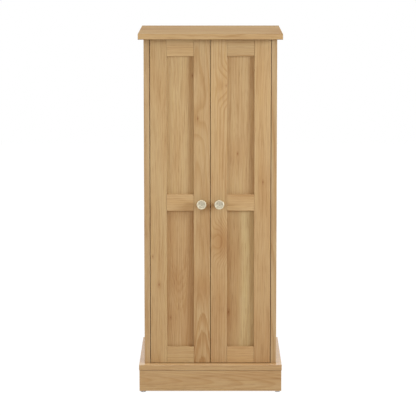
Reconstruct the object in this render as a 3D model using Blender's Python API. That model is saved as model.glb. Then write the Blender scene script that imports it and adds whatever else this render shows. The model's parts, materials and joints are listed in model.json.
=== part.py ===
"""A tall, narrow oak-effect cabinet with two inset frame-and-panel doors on a plinth.

Metres, +Z up. The front faces -Y, and the origin is on the floor below the middle of the cabinet.
"""
import math

import bmesh
import bpy

# Boards of the carcass
TOP_WIDTH = 0.382
TOP_DEPTH = 0.396
BOARD = 0.015
SIDE_HEIGHT = 0.870
SIDE_OVERHANG = 0.0145
FRONT_OVERHANG = 0.025
EDGE_EASE = 0.0006

# Plinth and feet
PLINTH_HEIGHT = 0.056
PLINTH_BOARD = 0.015
PLINTH_INSET = 0.001
CORNER_BLOCK = 0.036
FOOT_HEIGHT = 0.004
FOOT_RADIUS = 0.007
FOOT_EDGE_DISTANCE = 0.0095
FOOT_ROUNDING = 0.001

# Back panel in its grooves
BACK_THICKNESS = 0.003
BACK_INSET = 0.012
BACK_GROOVE_DEPTH = 0.006
GROOVE_PLAY = 0.001

# Shelves and the pins that carry the loose ones
SHELF_SETBACK = 0.006
LOOSE_SHELF_PLAY = 0.001
PIN_ROW_INSET = 0.040
PIN_HOLE_PITCH = 0.032
PIN_HOLES = 5
PIN_SHANK_RADIUS = 0.0025
PIN_SHANK_LENGTH = 0.009
PIN_HEAD_RADIUS = 0.0035
PIN_HEAD_LENGTH = 0.009
PIN_CHAMFER = 0.0005

# Doors
DOOR_THICKNESS = 0.018
HINGE_GAP = 0.0015
CENTRE_GAP = 0.0014
TOP_GAP = 0.0012
BOTTOM_GAP = 0.0012
STILE_WIDTH = 0.0435
RAIL_HEIGHT = 0.044
PANEL_THICKNESS = 0.006
PANEL_RECESS = 0.008
DOOR_GROOVE_DEPTH = 0.010

# Upright pivots of the doors
PIVOT_EDGE_DISTANCE = 0.009
PIVOT_SETBACK = 0.005
PIVOT_RADIUS = 0.0020
PIVOT_IN_DOOR = 0.022
PIVOT_IN_BUSH = 0.008
PIVOT_CHAMFER = 0.0006
BUSH_RADIUS = 0.0034
BUSH_LENGTH = 0.010
BUSH_FLANGE_RADIUS = 0.0045

# Knobs and their screws
KNOB_RADIUS = 0.0134
KNOB_FACE_RADIUS = 0.0098
KNOB_PROJECTION = 0.0235
KNOB_HEAD_THICKNESS = 0.0085
KNOB_NECK_RADIUS = 0.0055
KNOB_FOOT_RADIUS = 0.0080
KNOB_FOOT_THICKNESS = 0.0025
KNOB_FACE_SINK = 0.0006
KNOB_FACE_SLOPE = 0.0005
KNOB_DISH = 0.0004
KNOB_ASIDE = 0.0012
KNOB_DROP = 0.003
KNOB_BORE_DEPTH = 0.012
SCREW_RADIUS = 0.0020
SCREW_BITE = 0.010
SCREW_HEAD_RADIUS = 0.0040
SCREW_HEAD_FLAT_RADIUS = 0.0025
SCREW_HEAD_HEIGHT = 0.0024

# Magnetic catch below the fixed shelf
CATCH_WIDTH = 0.046
CATCH_EAR = 0.009
CATCH_EAR_THICKNESS = 0.002
CATCH_HEIGHT = 0.013
CATCH_DEPTH = 0.024
CATCH_SCREW_RADIUS = 0.0016
MAGNET_WALL = 0.003
MAGNET_DEPTH = 0.012
MAGNET_PROUD = 0.0005
STRIKE_WIDTH = 0.014
STRIKE_THICKNESS = 0.0012
STRIKE_HOLE_RADIUS = 0.0018

# Gap that touching pieces keep, and the number of sides of round pieces
FIT = 0.0003
KNOB_SIDES = 40
KNOB_RIM_STEPS = 5
BUSH_SIDES = 20
SMALL_SIDES = 12
SMOOTH_ANGLE = math.radians(35)
MERGE_DISTANCE = 1e-6

# Places that follow from the sizes above
FRONT = -TOP_DEPTH / 2
REAR = TOP_DEPTH / 2
CARCASS_WIDTH = TOP_WIDTH - 2 * SIDE_OVERHANG
OPENING = CARCASS_WIDTH - 2 * BOARD
CARCASS_FRONT = FRONT + FRONT_OVERHANG
BASE_BOTTOM = FOOT_HEIGHT + PLINTH_HEIGHT
BASE_TOP = BASE_BOTTOM + BOARD
TOP_BOTTOM = BASE_TOP + SIDE_HEIGHT
HEIGHT = TOP_BOTTOM + BOARD
BACK_FRONT = REAR - BACK_INSET - BACK_THICKNESS
BACK_REAR = REAR - BACK_INSET
DOOR_BACK = CARCASS_FRONT + DOOR_THICKNESS
DOOR_BOTTOM = BASE_TOP + BOTTOM_GAP
DOOR_TOP = TOP_BOTTOM - TOP_GAP
DOOR_MIDDLE = (DOOR_BOTTOM + DOOR_TOP) / 2
PANEL_FRONT = CARCASS_FRONT + PANEL_RECESS
SHELF_FRONT = DOOR_BACK + SHELF_SETBACK
SHELF_REAR = BACK_FRONT - FIT
FIXED_SHELF_BOTTOM = (BASE_TOP + TOP_BOTTOM - BOARD) / 2
FIXED_SHELF_TOP = FIXED_SHELF_BOTTOM + BOARD
STRIKE_REAR = DOOR_BACK + FIT + STRIKE_THICKNESS
SIDES = {"left": -1, "right": 1}


def finish(name, colour, roughness, metallic=0.0):
    """A plain material: colour as linear red, green and blue."""
    material = bpy.data.materials.new(name)
    material.use_nodes = True
    shader = material.node_tree.nodes["Principled BSDF"]
    shader.inputs["Base Color"].default_value = (*colour, 1.0)
    shader.inputs["Roughness"].default_value = roughness
    shader.inputs["Metallic"].default_value = metallic
    return material


def add_piece(name, bm, material, place=(0, 0, 0), turn=(0, 0, 0), axis=None):
    """Make an object from a bmesh; place is in the world, and axis is the empty that carries it."""
    mesh = bpy.data.meshes.new(name)
    bm.to_mesh(mesh)
    bm.free()
    piece = bpy.data.objects.new(name, mesh)
    bpy.context.scene.collection.objects.link(piece)
    offset = axis.location if axis else (0, 0, 0)
    piece.location = [p - o for p, o in zip(place, offset)]
    piece.rotation_euler = turn
    piece.parent = axis
    if material:
        mesh.materials.append(material)
    return piece


def face_outward(bm):
    """Point all faces of one closed shape outwards."""
    bmesh.ops.recalc_face_normals(bm, faces=bm.faces)
    if bm.calc_volume(signed=True) < 0:
        bmesh.ops.reverse_faces(bm, faces=bm.faces)


def fill_box(bm, low, high):
    """Add a closed box between two corners."""
    size = [b - a for a, b in zip(low, high)]
    middle = [(a + b) / 2 for a, b in zip(low, high)]
    verts = bmesh.ops.create_cube(bm, size=1.0)["verts"]
    bmesh.ops.scale(bm, vec=size, verts=verts)
    bmesh.ops.translate(bm, vec=middle, verts=verts)


def fill_rod(bm, start, direction, length, radius):
    """Add a closed round rod that runs from start along one of the axes x, y or z."""
    verts = bmesh.ops.create_cone(bm, cap_ends=True, segments=SMALL_SIDES, radius1=radius,
                                  radius2=radius, depth=abs(length))["verts"]
    bmesh.ops.translate(bm, vec=(0, 0, length / 2), verts=verts)
    swap = {"x": lambda v: (v.z, v.x, v.y), "y": lambda v: (v.y, v.z, v.x), "z": lambda v: tuple(v)}
    for vert in verts:
        vert.co = [s + c for s, c in zip(start, swap[direction](vert.co.copy()))]


def board(name, low, high, material, axis=None):
    """A square-cut board with slightly eased edges."""
    middle = [(a + b) / 2 for a, b in zip(low, high)]
    bm = bmesh.new()
    fill_box(bm, [a - m for a, m in zip(low, middle)], [b - m for b, m in zip(high, middle)])
    bmesh.ops.bevel(bm, geom=bm.edges[:], offset=EDGE_EASE, segments=1, affect="EDGES")
    return add_piece(name, bm, material, middle, axis=axis)


def prism(name, outline, start, length, along, material):
    """An outline of world points pushed along y or z; outline points are (x, z) or (x, y)."""
    bm = bmesh.new()
    if along == "z":
        points = [(x, y, start) for x, y in outline]
        push = (0, 0, length)
    else:
        points = [(x, start, z) for x, z in outline]
        push = (0, length, 0)
    face = bm.faces.new([bm.verts.new(p) for p in points])
    swept = bmesh.ops.extrude_face_region(bm, geom=[face])["geom"]
    bmesh.ops.translate(bm, vec=push, verts=[g for g in swept if isinstance(g, bmesh.types.BMVert)])
    face_outward(bm)
    return add_piece(name, bm, material)


def turned(name, profile, place, turn, sides, material, axis=None):
    """A round piece: the profile's (radius, height) points spun round its own z."""
    bm = bmesh.new()
    verts = [bm.verts.new((radius, 0, height)) for radius, height in profile]
    edges = [bm.edges.new(pair) for pair in zip(verts, verts[1:])]
    if profile[0][0] > 0:
        edges.append(bm.edges.new((verts[-1], verts[0])))
    bmesh.ops.spin(bm, geom=verts + edges, cent=(0, 0, 0), axis=(0, 0, 1), dvec=(0, 0, 0),
                   angle=2 * math.pi, steps=sides, use_merge=True)
    bmesh.ops.remove_doubles(bm, verts=bm.verts, dist=MERGE_DISTANCE)
    face_outward(bm)
    piece = add_piece(name, bm, material, place, turn, axis)
    piece.data.shade_smooth()
    piece.data.set_sharp_from_angle(angle=SMOOTH_ANGLE)
    return piece


def cut(piece, boxes=(), rods=()):
    """Take square grooves and round holes, given in world coordinates, out of a piece."""
    bm = bmesh.new()
    for low, high in boxes:
        fill_box(bm, low, high)
    for rod in rods:
        fill_rod(bm, *rod)
    tool = add_piece(piece.name + "_cutter", bm, None)
    tool.hide_render = True
    tool.display_type = "WIRE"
    modifier = piece.modifiers.new("cuts", "BOOLEAN")
    modifier.operation = "DIFFERENCE"
    modifier.object = tool


def between(a, b):
    """Two values in rising order."""
    return min(a, b), max(a, b)


def pivot_place(side):
    """Where a door's upright axis stands."""
    x = side * (OPENING / 2 - HINGE_GAP - PIVOT_EDGE_DISTANCE)
    return x, CARCASS_FRONT + PIVOT_SETBACK


def back_groove(low_x, high_x, low_z, high_z):
    """The box of a groove for the back panel."""
    return (low_x, BACK_FRONT - FIT, low_z), (high_x, BACK_REAR + FIT, high_z)


def pin_heights():
    """The middle pin hole of the lower and of the upper compartment."""
    return (BASE_TOP + FIXED_SHELF_BOTTOM) / 2, (FIXED_SHELF_TOP + TOP_BOTTOM) / 2


def pin_rows():
    """How far back the front and the rear row of pin holes lie."""
    return SHELF_FRONT + PIN_ROW_INSET, SHELF_REAR - PIN_ROW_INSET


def make_top_and_base(oak):
    """The two equal boards above and below, grooved for the back and bored for the bushes."""
    half = TOP_WIDTH / 2
    groove_half = OPENING / 2 + BACK_GROOVE_DEPTH
    bore = BUSH_RADIUS + FIT
    depth = BUSH_LENGTH + FIT
    top = board("top_panel", (-half, FRONT, TOP_BOTTOM), (half, REAR, HEIGHT), oak)
    groove = back_groove(-groove_half, groove_half, TOP_BOTTOM - FIT, TOP_BOTTOM + BACK_GROOVE_DEPTH)
    bores = [((*pivot_place(s), TOP_BOTTOM - FIT), "z", depth + FIT, bore) for s in SIDES.values()]
    cut(top, [groove], bores)
    base = board("base_panel", (-half, FRONT, BASE_BOTTOM), (half, REAR, BASE_TOP), oak)
    groove = back_groove(-groove_half, groove_half, BASE_TOP - BACK_GROOVE_DEPTH, BASE_TOP + FIT)
    bores = [((*pivot_place(s), BASE_TOP + FIT), "z", -depth - FIT, bore) for s in SIDES.values()]
    cut(base, [groove], bores)


def make_side(word, side, oak):
    """A side panel with its back groove and two rows of pin holes for each loose shelf."""
    inner = side * OPENING / 2
    low_x, high_x = between(inner, side * CARCASS_WIDTH / 2)
    piece = board(word + "_side_panel", (low_x, CARCASS_FRONT, BASE_TOP + FIT),
                  (high_x, REAR, TOP_BOTTOM - FIT), oak)
    cut_x = between(inner - side * FIT, inner + side * BACK_GROOVE_DEPTH)
    groove = back_groove(*cut_x, BASE_TOP, TOP_BOTTOM)
    holes = []
    for middle in pin_heights():
        for row in pin_rows():
            for step in range(PIN_HOLES):
                height = middle + (step - (PIN_HOLES - 1) / 2) * PIN_HOLE_PITCH
                start = (inner - side * FIT, row, height)
                length = side * (PIN_SHANK_LENGTH + 2 * FIT)
                holes.append((start, "x", length, PIN_SHANK_RADIUS + FIT))
    cut(piece, [groove], holes)


def make_back(hardboard):
    """The thin back panel, held in grooves on all four sides."""
    reach = BACK_GROOVE_DEPTH - GROOVE_PLAY
    half = OPENING / 2 + reach
    board("back_panel", (-half, BACK_FRONT, BASE_TOP - reach), (half, BACK_REAR, TOP_BOTTOM + reach),
          hardboard)


def make_shelves(oak, plastic):
    """A fixed shelf in the middle, and a loose one on four pins in each compartment."""
    half = OPENING / 2 - FIT
    board("fixed_shelf", (-half, SHELF_FRONT, FIXED_SHELF_BOTTOM), (half, SHELF_REAR, FIXED_SHELF_TOP), oak)
    half = OPENING / 2 - LOOSE_SHELF_PLAY
    for word, height in zip(("lower", "upper"), pin_heights()):
        bottom = height + PIN_HEAD_RADIUS + FIT
        board(word + "_shelf", (-half, SHELF_FRONT, bottom), (half, SHELF_REAR, bottom + BOARD), oak)
        for side_word, side in SIDES.items():
            for row_word, row in zip(("front", "rear"), pin_rows()):
                make_shelf_pin(f"{word}_shelf_pin_{side_word}_{row_word}", side, row, height, plastic)


def make_shelf_pin(name, side, row, height, plastic):
    """A stepped peg: a shank in the side panel, and a thicker head that the shelf lies on."""
    shank, head = PIN_SHANK_RADIUS, PIN_HEAD_RADIUS
    profile = [(0, -PIN_SHANK_LENGTH), (shank - PIN_CHAMFER, -PIN_SHANK_LENGTH),
               (shank, PIN_CHAMFER - PIN_SHANK_LENGTH), (shank, 0), (head, 0),
               (head, PIN_HEAD_LENGTH - PIN_CHAMFER), (head - PIN_CHAMFER, PIN_HEAD_LENGTH),
               (0, PIN_HEAD_LENGTH)]
    place = (side * (OPENING / 2 - FIT), row, height)
    turned(name, profile, place, (0, -side * math.pi / 2, 0), SMALL_SIDES, plastic)


def make_plinth(oak, pine):
    """Four boards below the base panel, mitred at the front, with a glued block in each corner."""
    half = TOP_WIDTH / 2 - PLINTH_INSET
    front, rear = FRONT + PLINTH_INSET, REAR - PLINTH_INSET
    low, height = FOOT_HEIGHT, PLINTH_HEIGHT - FIT
    inner_half, inner_front = half - PLINTH_BOARD, front + PLINTH_BOARD
    outline = [(-half, front), (half, front), (inner_half, inner_front), (-inner_half, inner_front)]
    prism("plinth_front", outline, low, height, "z", oak)
    mitre_gap = FIT * math.sqrt(2)
    for word, side in SIDES.items():
        outline = [(side * half, front + mitre_gap), (side * half, rear), (side * inner_half, rear),
                   (side * inner_half, inner_front + mitre_gap)]
        prism("plinth_" + word, outline, low, height, "z", oak)
    board("plinth_back", (FIT - inner_half, rear - PLINTH_BOARD, low),
          (inner_half - FIT, rear, low + height), oak)
    for row_word, corner_y, way in (("front", inner_front, 1), ("rear", rear - PLINTH_BOARD, -1)):
        for word, side in SIDES.items():
            x, y = side * (inner_half - FIT), corner_y + way * FIT
            outline = [(x, y), (x - side * CORNER_BLOCK, y), (x, y + way * CORNER_BLOCK)]
            prism(f"plinth_block_{row_word}_{word}", outline, low, height, "z", pine)


def make_feet(plastic):
    """Round glides under the corners of the plinth, rounded where they meet the floor."""
    top = FOOT_HEIGHT - FIT
    profile = [(0, 0), (FOOT_RADIUS - FOOT_ROUNDING, 0), (FOOT_RADIUS, FOOT_ROUNDING),
               (FOOT_RADIUS, top), (0, top)]
    x = TOP_WIDTH / 2 - PLINTH_INSET - FOOT_EDGE_DISTANCE
    y = TOP_DEPTH / 2 - PLINTH_INSET - FOOT_EDGE_DISTANCE
    for row_word, way in (("front", -1), ("rear", 1)):
        for word, side in SIDES.items():
            turned(f"foot_{row_word}_{word}", profile, (side * x, way * y, 0), (0, 0, 0), BUSH_SIDES, plastic)


def make_rail(name, low_x, high_x, low_z, grooves, oak, axis):
    """A rail whose ends carry a tongue for the stiles, grooved above or below for the panels."""
    high_z = low_z + RAIL_HEIGHT
    tongue = DOOR_GROOVE_DEPTH - GROOVE_PLAY
    rail = board(name, (low_x - tongue, CARCASS_FRONT, low_z), (high_x + tongue, DOOR_BACK, high_z),
                 oak, axis)
    panel_rear = PANEL_FRONT + PANEL_THICKNESS
    far_low, far_high = low_x - tongue - FIT, high_x + tongue + FIT
    cheeks = []
    for start, stop in ((far_low, low_x + FIT), (high_x - FIT, far_high)):
        for front, rear in ((CARCASS_FRONT - FIT, PANEL_FRONT), (panel_rear, DOOR_BACK + FIT)):
            cheeks.append(((start, front, low_z - FIT), (stop, rear, high_z + FIT)))
    cut(rail, cheeks)
    heights = {"below": (low_z - FIT, low_z + DOOR_GROOVE_DEPTH),
               "above": (high_z - DOOR_GROOVE_DEPTH, high_z + FIT)}
    cut(rail, [((far_low, PANEL_FRONT - FIT, heights[g][0]), (far_high, panel_rear + FIT, heights[g][1]))
               for g in grooves])


def make_door_frame(word, side, axis, oak):
    """Stiles, rails and sunk panels of one door, tongued and grooved into each other."""
    hinge_x = side * (OPENING / 2 - HINGE_GAP)
    meeting_x = side * CENTRE_GAP / 2
    hinge_inner, meeting_inner = hinge_x - side * STILE_WIDTH, meeting_x + side * STILE_WIDTH
    low_x, high_x = between(hinge_inner, meeting_inner)
    groove_y = PANEL_FRONT - FIT, PANEL_FRONT + PANEL_THICKNESS + FIT
    ends = DOOR_BOTTOM, DOOR_TOP
    stiles = {"hinge": (hinge_x, hinge_inner, side), "meeting": (meeting_x, meeting_inner, -side)}
    for stile_word, (outer, inner, out) in stiles.items():
        x = between(outer, inner)
        stile = board(f"{word}_door_{stile_word}_stile", (x[0], CARCASS_FRONT, ends[0]),
                      (x[1], DOOR_BACK, ends[1]), oak, axis)
        groove_x = between(inner - out * FIT, inner + out * DOOR_GROOVE_DEPTH)
        groove = ((groove_x[0], groove_y[0], ends[0] - FIT), (groove_x[1], groove_y[1], ends[1] + FIT))
        cut(stile, [groove], stile_holes(stile_word, side))
    middle_low = DOOR_MIDDLE - RAIL_HEIGHT / 2
    rails = {"bottom": (DOOR_BOTTOM, ["above"]), "middle": (middle_low, ["below", "above"]),
             "top": (DOOR_TOP - RAIL_HEIGHT, ["below"])}
    for rail_word, (low_z, grooves) in rails.items():
        make_rail(f"{word}_door_{rail_word}_rail", low_x, high_x, low_z, grooves, oak, axis)
    reach = DOOR_GROOVE_DEPTH - GROOVE_PLAY
    spaces = {"lower": (DOOR_BOTTOM + RAIL_HEIGHT, middle_low),
              "upper": (middle_low + RAIL_HEIGHT, DOOR_TOP - RAIL_HEIGHT)}
    for panel_word, (low_z, high_z) in spaces.items():
        board(f"{word}_door_{panel_word}_panel", (low_x - reach, PANEL_FRONT, low_z - reach),
              (high_x + reach, PANEL_FRONT + PANEL_THICKNESS, high_z + reach), oak, axis)


def stile_holes(stile_word, side):
    """Pivot holes in both ends of a hinge stile, or the knob's screw hole in a meeting stile."""
    if stile_word == "hinge":
        radius, depth = PIVOT_RADIUS + FIT, PIVOT_IN_DOOR + FIT
        x, y = pivot_place(side)
        return [((x, y, DOOR_BOTTOM - FIT), "z", depth + FIT, radius),
                ((x, y, DOOR_TOP + FIT), "z", -depth - FIT, radius)]
    x, z = knob_place(side)
    return [((x, CARCASS_FRONT - FIT, z), "y", DOOR_THICKNESS + 2 * FIT, SCREW_RADIUS + FIT)]


def knob_place(side):
    """A knob's centre across and up: just beyond the meeting stile's middle and below the door's middle."""
    return side * (CENTRE_GAP / 2 + STILE_WIDTH / 2 + KNOB_ASIDE), DOOR_MIDDLE - KNOB_DROP


def make_knob(word, side, axis, nickel, steel):
    """A turned knob whose dished face lies inside a rounded rim, and the screw that holds it from behind."""
    x, z = knob_place(side)
    bore = SCREW_RADIUS + FIT
    face = KNOB_PROJECTION
    under = face - KNOB_HEAD_THICKNESS
    rim = (KNOB_RADIUS - KNOB_FACE_RADIUS) / 2
    shoulder = KNOB_HEAD_THICKNESS / 2
    rounding = []
    for step in range(KNOB_RIM_STEPS + 1):
        angle = math.pi / 2 * step / KNOB_RIM_STEPS
        rounding.append((KNOB_RADIUS - rim + rim * math.cos(angle),
                         face - shoulder + shoulder * math.sin(angle)))
    floor = face - KNOB_FACE_SINK
    profile = [(0, KNOB_BORE_DEPTH), (bore, KNOB_BORE_DEPTH), (bore, 0), (KNOB_FOOT_RADIUS, 0),
               (KNOB_FOOT_RADIUS, KNOB_FOOT_THICKNESS / 2),
               (KNOB_NECK_RADIUS, KNOB_FOOT_THICKNESS * 2), (KNOB_NECK_RADIUS, under - KNOB_FOOT_THICKNESS),
               (KNOB_RADIUS - rim, under), *rounding,
               (KNOB_FACE_RADIUS, face), (KNOB_FACE_RADIUS - KNOB_FACE_SLOPE, floor), (0, floor - KNOB_DISH)]
    turned(word + "_knob", profile, (x, CARCASS_FRONT - FIT, z), (math.pi / 2, 0, 0), KNOB_SIDES,
           nickel, axis)
    tip = DOOR_THICKNESS + FIT + SCREW_BITE
    profile = [(0, -SCREW_HEAD_HEIGHT), (SCREW_HEAD_FLAT_RADIUS, -SCREW_HEAD_HEIGHT),
               (SCREW_HEAD_RADIUS, -SCREW_HEAD_HEIGHT / 2), (SCREW_HEAD_RADIUS, 0),
               (SCREW_RADIUS, 0), (SCREW_RADIUS, tip), (0, tip)]
    turned(word + "_knob_screw", profile, (x, DOOR_BACK + FIT, z), (math.pi / 2, 0, 0), SMALL_SIDES,
           steel, axis)


def make_pivots(word, side, axis, steel, plastic):
    """At each end of the hinge stile, a steel pin that turns in a flanged bush in the board beyond it."""
    x, y = pivot_place(side)
    bore = PIVOT_RADIUS + FIT
    ends = {"top": (DOOR_TOP, TOP_BOTTOM, TOP_GAP, 0),
            "bottom": (DOOR_BOTTOM, BASE_TOP, BOTTOM_GAP, math.pi)}
    for end_word, (door_end, board_face, gap, turn) in ends.items():
        flange = gap - FIT
        profile = [(bore, -flange), (BUSH_FLANGE_RADIUS, -flange), (BUSH_FLANGE_RADIUS, -FIT),
                   (BUSH_RADIUS, -FIT), (BUSH_RADIUS, BUSH_LENGTH), (bore, BUSH_LENGTH)]
        turned(f"{word}_{end_word}_bush", profile, (x, y, board_face), (turn, 0, 0), BUSH_SIDES, plastic)
        tip = gap + PIVOT_IN_BUSH
        slim = PIVOT_RADIUS - PIVOT_CHAMFER
        profile = [(0, -PIVOT_IN_DOOR), (slim, -PIVOT_IN_DOOR), (PIVOT_RADIUS, PIVOT_CHAMFER - PIVOT_IN_DOOR),
                   (PIVOT_RADIUS, tip - PIVOT_CHAMFER), (slim, tip), (0, tip)]
        turned(f"{word}_{end_word}_pivot_pin", profile, (x, y, door_end), (turn, 0, 0), SMALL_SIDES,
               steel, axis)


def make_catch(plastic, steel):
    """A double magnetic catch screwed below the fixed shelf, with its magnet in a pocket at the front."""
    half, ear_half = CATCH_WIDTH / 2, CATCH_WIDTH / 2 + CATCH_EAR
    top = FIXED_SHELF_BOTTOM - FIT
    ear, bottom = top - CATCH_EAR_THICKNESS, top - CATCH_HEIGHT
    front = STRIKE_REAR + FIT + MAGNET_PROUD
    outline = [(-ear_half, top), (-ear_half, ear), (-half, ear), (-half, bottom),
               (half, bottom), (half, ear), (ear_half, ear), (ear_half, top)]
    housing = prism("catch_housing", outline, front, CATCH_DEPTH, "y", plastic)
    pocket_low = (MAGNET_WALL - half, front - FIT, bottom + MAGNET_WALL)
    pocket_high = (half - MAGNET_WALL, front + MAGNET_DEPTH, top - MAGNET_WALL)
    ear_middle = SHELF_FRONT + (front + CATCH_DEPTH - SHELF_FRONT) / 2
    screws = [((s * (half + CATCH_EAR / 2), ear_middle, top + FIT), "z", -CATCH_EAR_THICKNESS - 2 * FIT,
               CATCH_SCREW_RADIUS) for s in SIDES.values()]
    cut(housing, [(pocket_low, pocket_high)], screws)
    low = [pocket_low[0] + FIT, front - MAGNET_PROUD, pocket_low[2] + FIT]
    high = [p - FIT for p in pocket_high]
    board("catch_magnet", low, high, steel)


def make_strike(word, side, axis, steel):
    """A small steel plate on the back of a meeting stile, facing the magnet."""
    top = FIXED_SHELF_BOTTOM - FIT
    bottom = top - CATCH_HEIGHT
    outer = side * (CATCH_WIDTH / 2 - MAGNET_WALL)
    low_x, high_x = between(outer, outer - side * STRIKE_WIDTH)
    strike = board(word + "_strike_plate", (low_x, DOOR_BACK + FIT, bottom), (high_x, STRIKE_REAR, top),
                   steel, axis)
    middle = ((low_x + high_x) / 2, DOOR_BACK, (bottom + top) / 2)
    cut(strike, rods=[(middle, "y", STRIKE_THICKNESS + 2 * FIT, STRIKE_HOLE_RADIUS)])


def make_door(word, side, oak, nickel, steel, plastic):
    """One door with everything that swings with it, on an empty at its axis."""
    axis = bpy.data.objects.new(word + "_door_axis", None)
    bpy.context.scene.collection.objects.link(axis)
    axis.location = (*pivot_place(side), 0)
    make_door_frame(word, side, axis, oak)
    make_knob(word, side, axis, nickel, steel)
    make_pivots(word, side, axis, steel, plastic)
    make_strike(word, side, axis, steel)


def main():
    for old in list(bpy.data.objects):
        bpy.data.objects.remove(old)
    oak = finish("oak_effect_laminate", (0.49, 0.31, 0.16), 0.55)
    hardboard = finish("printed_hardboard", (0.45, 0.29, 0.15), 0.7)
    pine = finish("pine_block", (0.60, 0.42, 0.22), 0.8)
    nickel = finish("satin_nickel", (0.70, 0.66, 0.58), 0.3, 1.0)
    steel = finish("zinc_plated_steel", (0.60, 0.60, 0.60), 0.4, 1.0)
    plastic = finish("grey_nylon", (0.55, 0.55, 0.54), 0.5)
    make_top_and_base(oak)
    make_back(hardboard)
    make_shelves(oak, plastic)
    make_plinth(oak, pine)
    make_feet(plastic)
    make_catch(plastic, steel)
    for word, side in SIDES.items():
        make_side(word, side, oak)
        make_door(word, side, oak, nickel, steel, plastic)


main()
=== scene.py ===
"""Looks of the tall two-door cabinet: oak-effect boards, satin nickel knobs, nylon glides and a white studio.

Metres, +Z up, front towards -Y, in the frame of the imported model.
"""
import json
import math
import random
from dataclasses import dataclass

import bmesh
import bpy
from mathutils import Euler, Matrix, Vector


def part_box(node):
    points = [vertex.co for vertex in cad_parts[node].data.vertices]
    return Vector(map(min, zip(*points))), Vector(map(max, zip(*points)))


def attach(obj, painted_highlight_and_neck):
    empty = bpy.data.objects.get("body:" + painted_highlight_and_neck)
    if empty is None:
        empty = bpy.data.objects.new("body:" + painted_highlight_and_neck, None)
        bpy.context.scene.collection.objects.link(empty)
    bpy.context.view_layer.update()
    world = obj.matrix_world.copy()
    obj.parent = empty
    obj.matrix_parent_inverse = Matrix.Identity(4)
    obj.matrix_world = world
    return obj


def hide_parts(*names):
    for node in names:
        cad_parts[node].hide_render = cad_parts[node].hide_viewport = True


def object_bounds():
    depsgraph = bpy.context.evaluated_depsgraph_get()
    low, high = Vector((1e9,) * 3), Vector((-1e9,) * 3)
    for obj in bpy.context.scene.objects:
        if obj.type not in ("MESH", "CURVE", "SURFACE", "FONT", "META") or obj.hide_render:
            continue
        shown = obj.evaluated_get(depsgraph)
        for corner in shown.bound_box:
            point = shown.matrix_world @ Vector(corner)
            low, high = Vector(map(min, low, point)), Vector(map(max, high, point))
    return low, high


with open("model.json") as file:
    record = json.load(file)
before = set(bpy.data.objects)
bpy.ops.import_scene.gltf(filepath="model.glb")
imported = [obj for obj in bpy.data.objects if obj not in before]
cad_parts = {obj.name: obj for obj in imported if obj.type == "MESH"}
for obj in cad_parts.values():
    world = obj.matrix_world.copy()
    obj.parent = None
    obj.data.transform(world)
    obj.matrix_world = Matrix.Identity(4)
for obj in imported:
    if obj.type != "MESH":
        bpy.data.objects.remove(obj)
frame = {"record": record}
cad_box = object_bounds()

MM = 0.001
AXES = "XYZ"
WHITE = "#FFFFFF"

# Camera, solved from the photograph's perspective
IMAGE_PIXELS = 416
FOCAL_PIXELS = 2321
CENTRE_LINE_PIXEL = 210.4
CAMERA_DISTANCE = 6.10
CAMERA_HEIGHT = 1.327
CAMERA_PITCH = math.radians(7.73)
SENSOR_WIDTH = 36

# Studio: the cool lamps in front and the warm room add up to white.
# Each softbox has a place, a size, watts, a colour and a spread in degrees, which a grid makes narrow
COOL = "#D3E8FF"
GRID = 88
OPEN = 180
SOFTBOXES = {
    "key_softbox": ((2.9, -1.60, 1.36), 1.1, 32.5, COOL, GRID),
    "left_softbox": ((-2.3, -1.60, 1.3), 1.0, 9, COOL, GRID),
    "overhead_softbox": ((0.0, -0.40, 2.9), 1.0, 19, WHITE, OPEN),
    "rear_softbox": ((-2.6, 3.6, 2.0), 1.6, 36, "#EEF4FF", OPEN),
}
LAMP_TARGET = Vector((0.0, -0.17, 1.12))
WORLD_LIGHT = 0.535
WORLD_COLOUR = "#FFDDC2"
# Floor: its reach to each side, its finish, and the share and strength of the white glow that is seen on it
FLOOR_REACH = 6.0
FLOOR_COLOUR = "#EEEEEE"
FLOOR_ROUGHNESS = 0.9
FLOOR_WHITENESS = 0.90
FLOOR_GLOW = 1.08

# Settings that many nodes share: a mix of two colours, one that multiplies them, and a range with soft ends.
# A Mix node takes its factor at 0, two numbers at 2 and 3, or two colours at 6 and 7
BLEND = {"out": 2, "data_type": "RGBA"}
MULTIPLY = {"out": 2, "data_type": "RGBA", "blend_type": "MULTIPLY"}
SOFT = {"interpolation_type": "SMOOTHSTEP"}
# A wave texture of scale 1 repeats after this length
WAVE_LENGTH = 2 * math.pi / 20

# Colours of the oak-effect print under its clear lacquer: bands are honey, pale and russet, and the colours
# of streaks, latewood, pores and blush multiply what is there
HONEY = "#D6B380"
PALE = "#DEC08E"
RUSSET = "#C79C67"
KNOT = "#9C6438"
STREAK = "#E6DCCD"
LATEWOOD = "#E8D9C4"
PORE = "#C9B49A"
BLUSH = "#E9D7C4"
BAND_STOPS = [(0.32, RUSSET), (0.46, HONEY), (0.58, PALE), (0.72, HONEY)]
STREAK_STOPS = [(0.34, STREAK), (0.50, WHITE), (0.66, "#FFFFF4")]
RING_STOPS = [(0.45, WHITE), (0.90, LATEWOOD), (1.0, WHITE)]
PORE_STOPS = [(0.28, PORE), (0.36, WHITE)]
PORE_STRENGTH = 0.35
FLAME_STOPS = [(0.0, WHITE), (0.06, "#E2D0BA"), (0.35, "#ECDDCA"), (0.65, WHITE)]

# Patterns of the print: the width of each, its shape, which is the width divided by the length along the
# grain, and how much fine detail it has and how rough that is.
# Pores of oak are 0.3 mm wide; they are drawn wider so that they show
SWAY = (90 * MM, 0.25, 1, 0.5)
BANDS = (40 * MM, 0.13, 2, 0.5)
STREAKS = (5 * MM, 0.05, 3, 0.6)
PORES = (0.8 * MM, 0.027, 0, 0.5)
# Growth rings: how far apart they are, and how much slower they wander along the trunk than across it
RING_SPACING = 5 * MM
RING_SHAPE = 0.06
# How far the grain sways to each side. A place across the board lies this much further on the swaying grain,
# on average
GRAIN_SWAY = 5 * MM
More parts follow.
